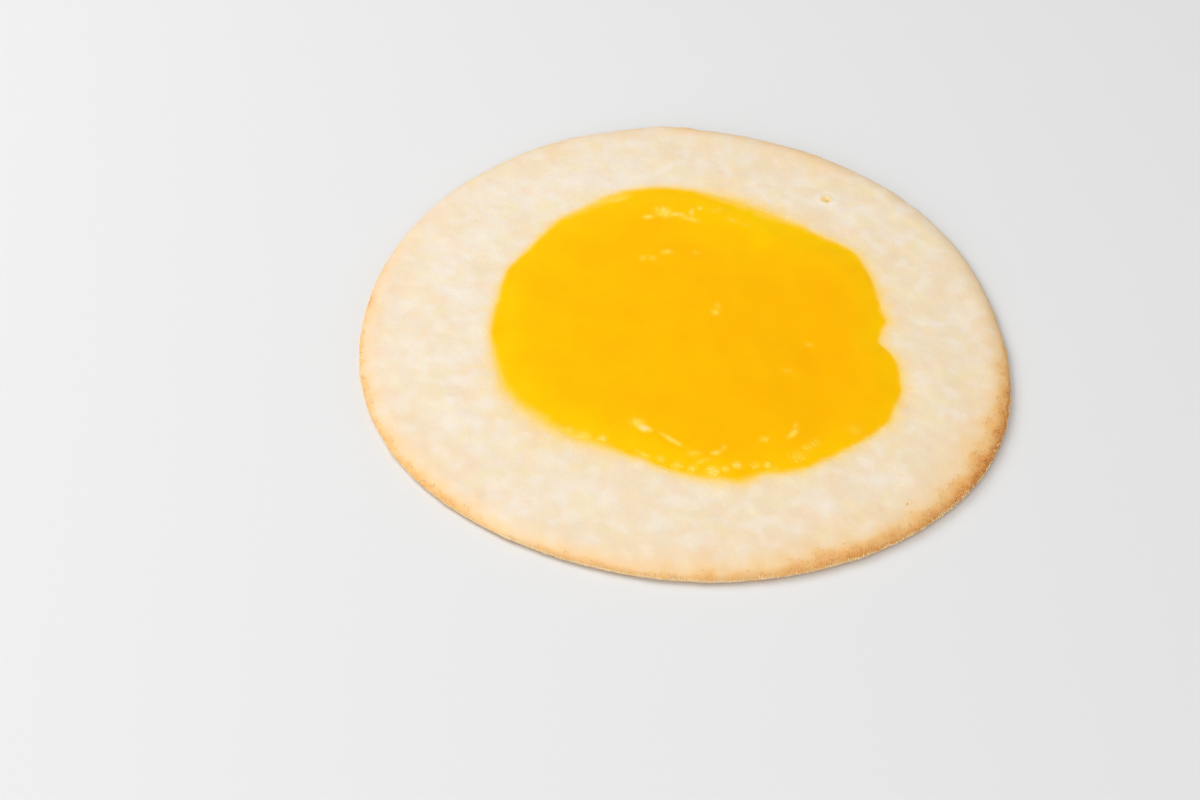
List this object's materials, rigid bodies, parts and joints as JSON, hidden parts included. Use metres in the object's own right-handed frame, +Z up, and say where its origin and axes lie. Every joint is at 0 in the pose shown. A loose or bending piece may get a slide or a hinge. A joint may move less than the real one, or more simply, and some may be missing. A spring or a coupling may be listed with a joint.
{
  "type": "lemon biscuit",
  "caption": "Thin, pale, round biscuit with a browned rim and a glossy patch of lemon curd spread over its middle, lying flat.",
  "frame": {"origin": "on the flat underside, under the middle of the biscuit's outline box", "axes": "+Z up through the topping; +X to the right and +Y away as the picture shows the biscuit, with the dent in the topping's outline on the +X side"},
  "size_m": [0.0844, 0.0836, 0.0029],
  "materials": {
    "baked_biscuit": "matt, pale baked dough, slightly sandy, toasted golden brown at the rim",
    "lemon_curd": "satin gloss, smooth, slightly translucent yellow curd"
  },
  "bodies": {
    "root": {"biscuit": "baked_biscuit", "lemon_topping": "lemon_curd"}
  },
  "joints": []
}
